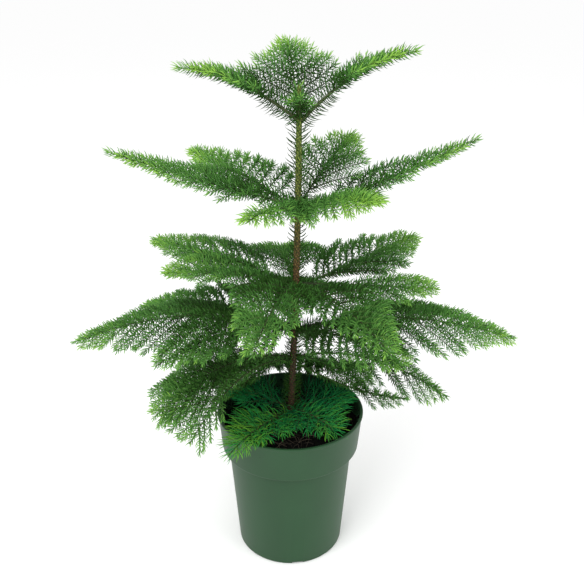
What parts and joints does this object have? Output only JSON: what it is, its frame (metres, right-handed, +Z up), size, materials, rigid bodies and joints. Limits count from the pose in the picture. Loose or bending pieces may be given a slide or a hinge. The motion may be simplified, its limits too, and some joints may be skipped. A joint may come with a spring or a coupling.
{
  "type": "potted norfolk island pine",
  "caption": "Young Norfolk Island pine with whorled, needled fronds round one straight leader, growing in a tapered plastic nursery pot.",
  "frame": {"origin": "centre of the pot's flat underside", "axes": "+Z up the trunk; -Y towards the open front of the crown, +X to its right"},
  "size_m": [0.4736, 0.3361, 0.5812],
  "materials": {
    "pot": "satin moulded plastic, muted green",
    "soil": "moist dark potting mix with rootlets",
    "bark": "scaly orange-brown bark, olive towards the top",
    "bough": "green young wood with leaf scars",
    "needles": "soft green needles, brighter at the tips",
    "low_needles": "long deep green juvenile needles"
  },
  "bodies": {
    "root": {"bough_broad_1": "bough", "bough_broad_2": "bough", "bough_broad_3": "bough", "bough_broad_4": "bough", "bough_broad_5": "bough", "bough_broad_6": "bough", "bough_broad_7": "bough", "bough_middle_1": "bough", "bough_middle_2": "bough", "bough_middle_3": "bough", "bough_middle_4": "bough", "bough_middle_7": "bough", "bough_top_1": "bough", "bough_top_2": "bough", "bough_top_3": "bough", "bough_top_4": "bough", "bough_upper_1": "bough", "bough_upper_2": "bough", "bough_upper_3": "bough", "bough_upper_4": "bough", "bough_upper_5": "bough", "bough_upper_6": "bough", "frond_broad_1": "needles", "frond_broad_2": "needles", "frond_broad_3": "needles", "frond_broad_4": "needles", "frond_broad_5": "needles", "frond_broad_6": "needles", "frond_broad_7": "needles", "frond_low_1": "low_needles", "frond_low_2": "low_needles", "frond_low_3": "low_needles", "frond_low_4": "low_needles", "frond_middle_1": "needles", "frond_middle_2": "needles", "frond_middle_3": "needles", "frond_middle_4": "needles", "frond_middle_5": "needles", "frond_middle_6": "needles", "frond_middle_7": "needles", "frond_skirt_1": "needles", "frond_skirt_2": "needles", "frond_skirt_3": "needles", "frond_skirt_4": "needles", "frond_skirt_5": "needles", "frond_skirt_6": "needles", "frond_skirt_7": "needles", "frond_top_1": "needles", "frond_top_2": "needles", "frond_top_3": "needles", "frond_top_4": "needles", "frond_upper_1": "needles", "frond_upper_2": "needles", "frond_upper_3": "needles", "frond_upper_4": "needles", "frond_upper_5": "needles", "frond_upper_6": "needles", "pot": "pot", "soil": "soil", "trunk": "bark"}
  },
  "joints": []
}
